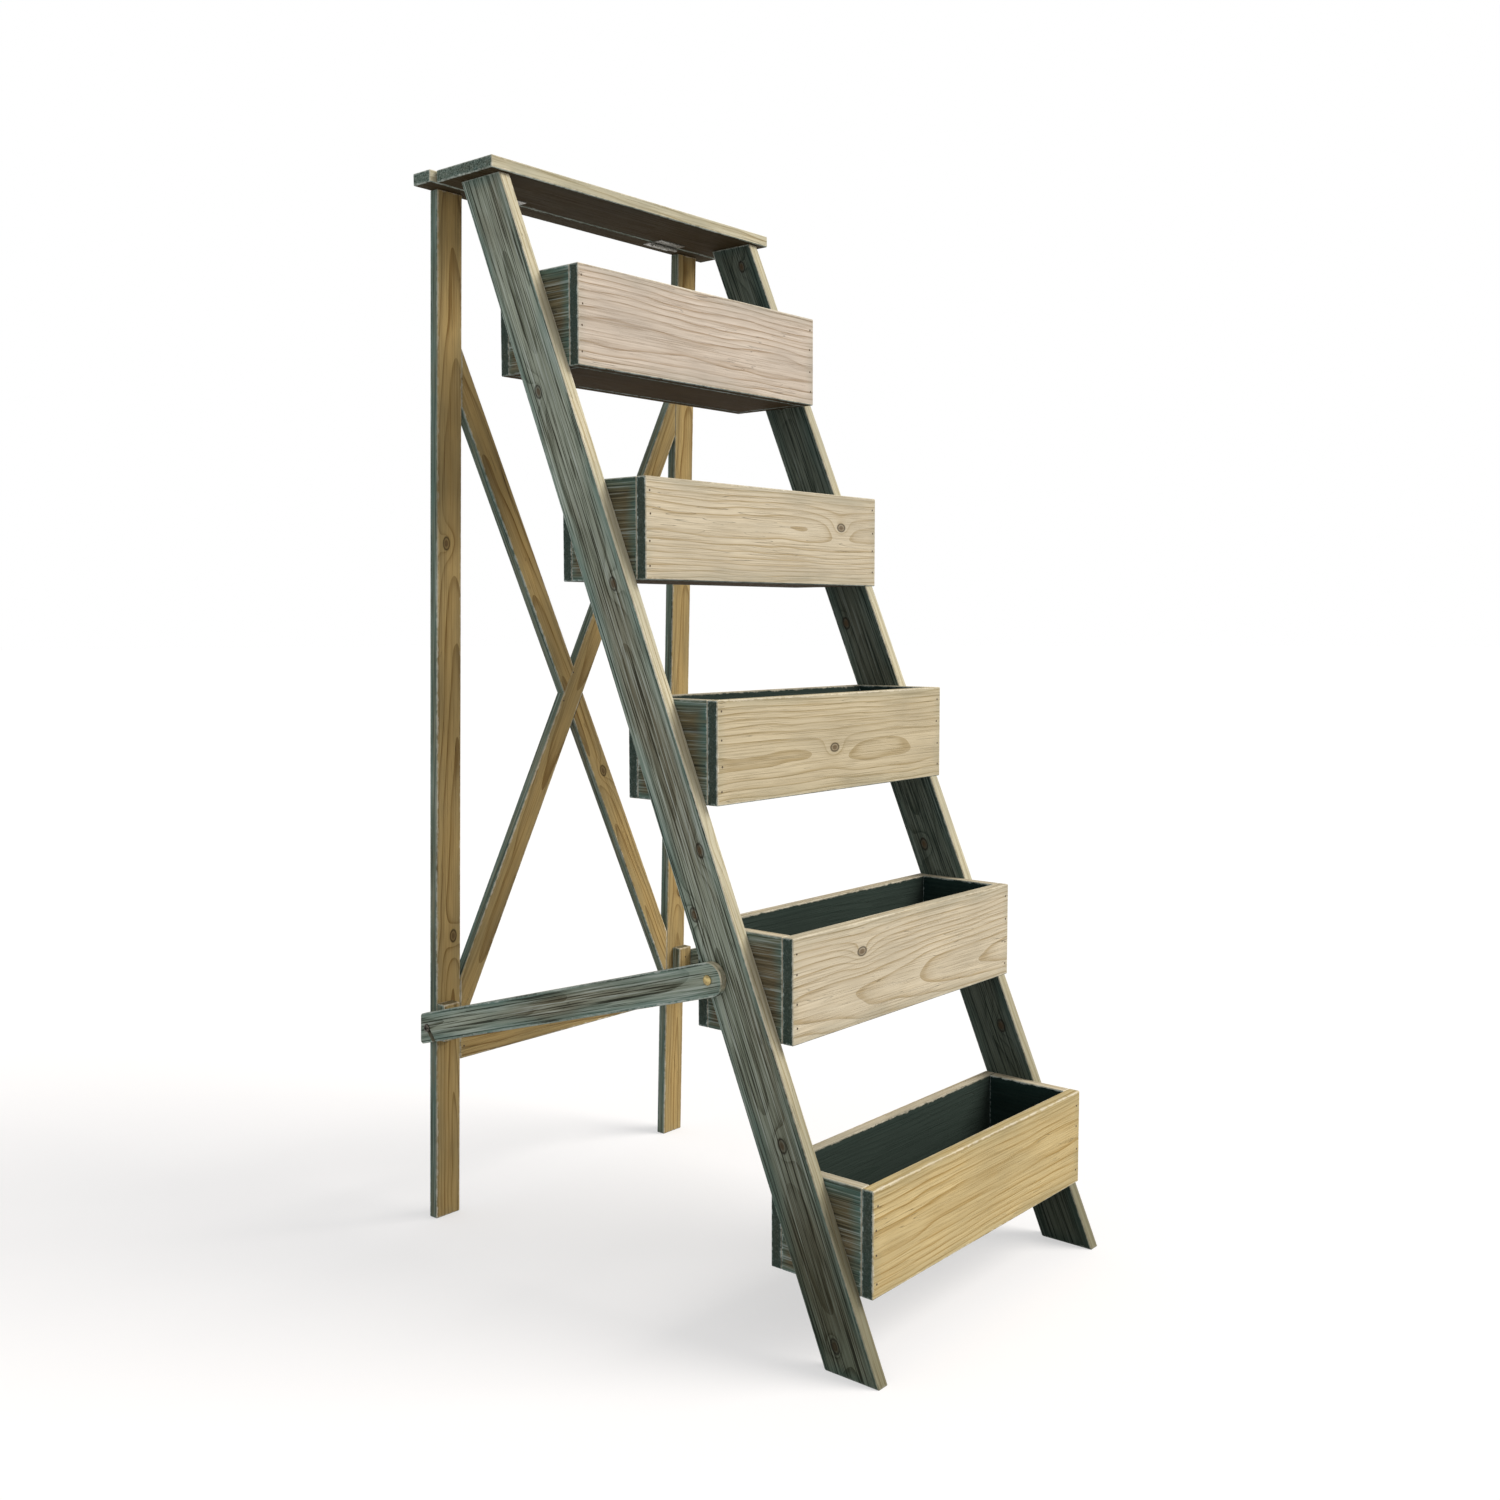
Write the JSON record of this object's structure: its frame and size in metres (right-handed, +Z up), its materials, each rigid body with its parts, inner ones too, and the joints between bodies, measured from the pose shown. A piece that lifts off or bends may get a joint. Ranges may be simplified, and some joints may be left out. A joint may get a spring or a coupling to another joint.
{
  "type": "ladder plant stand",
  "caption": "Folding ladder plant stand: leaning stringers carry planter boxes and a top board, with a hinged, X-braced rear frame held open by hooked side straps.",
  "frame": {"origin": "on the floor, under the middle of the open stand's outline", "axes": "+Z up, the boxes face -Y, X across the width with the viewer's right at +X from the front"},
  "size_m": [0.654, 0.8996, 1.65],
  "materials": {
    "ladder_wood": "weathered matte, silvered grey-brown",
    "box_wood": "weathered matte, sun-bleached tan",
    "frame_wood": "weathered matte, golden brown",
    "strap_wood": "weathered matte, grey-green",
    "pivot_metal": "dulled",
    "screw_metal": "dark, worn bright at the socket",
    "hinge_metal": "dulled zinc plate"
  },
  "bodies": {
    "ladder": {"stringer_left": "ladder_wood", "stringer_right": "ladder_wood", "top_board": "ladder_wood", "box_1_front": "box_wood", "box_1_back": "box_wood", "box_1_side_left": "box_wood", "box_1_side_right": "box_wood", "box_1_floor": "box_wood", "box_2_front": "box_wood", "box_2_back": "box_wood", "box_2_side_left": "box_wood", "box_2_side_right": "box_wood", "box_2_floor": "box_wood", "box_3_front": "box_wood", "box_3_back": "box_wood", "box_3_side_left": "box_wood", "box_3_side_right": "box_wood", "box_3_floor": "box_wood", "box_4_front": "box_wood", "box_4_back": "box_wood", "box_4_side_left": "box_wood", "box_4_side_right": "box_wood", "box_4_floor": "box_wood", "box_5_front": "box_wood", "box_5_back": "box_wood", "box_5_side_left": "box_wood", "box_5_side_right": "box_wood", "box_5_floor": "box_wood", "pivot_bolts": "pivot_metal", "pivot_washers": "pivot_metal", "pivot_nuts": "pivot_metal", "hinge_leaves_fixed": "hinge_metal", "hinge_pins": "hinge_metal"},
    "rear_frame": {"rear_leg_left": "frame_wood", "strap_block_left": "frame_wood", "rear_leg_right": "frame_wood", "strap_block_right": "frame_wood", "batten": "frame_wood", "crossbar": "frame_wood", "brace_rising": "frame_wood", "brace_falling": "frame_wood", "hook_screws": "screw_metal", "hinge_leaves_moving": "hinge_metal"},
    "strap_left": {"strap_left": "strap_wood"},
    "strap_right": {"strap_right": "strap_wood"}
  },
  "joints": [
    {"name": "rear_frame_fold", "type": "hinge", "parent": "ladder", "child": "rear_frame", "pos_m": [0, 0.35903, 1.6282], "axis": [-1, 0, 0], "range_deg": [0, 23]},
    {"name": "strap_left_swing", "type": "hinge", "parent": "ladder", "child": "strap_left", "pos_m": [-0.295, -0.17336, 0.49], "axis": [1, 0, 0], "range_deg": [0, 81]},
    {"name": "strap_right_swing", "type": "hinge", "parent": "ladder", "child": "strap_right", "pos_m": [0.295, -0.17336, 0.49], "axis": [1, 0, 0], "range_deg": [0, 81]}
  ],
  "couplings": [
    {"joint": "strap_left_swing", "follows": "rear_frame_fold", "ratio": 3.5},
    {"joint": "strap_right_swing", "follows": "rear_frame_fold", "ratio": 3.5}
  ]
}
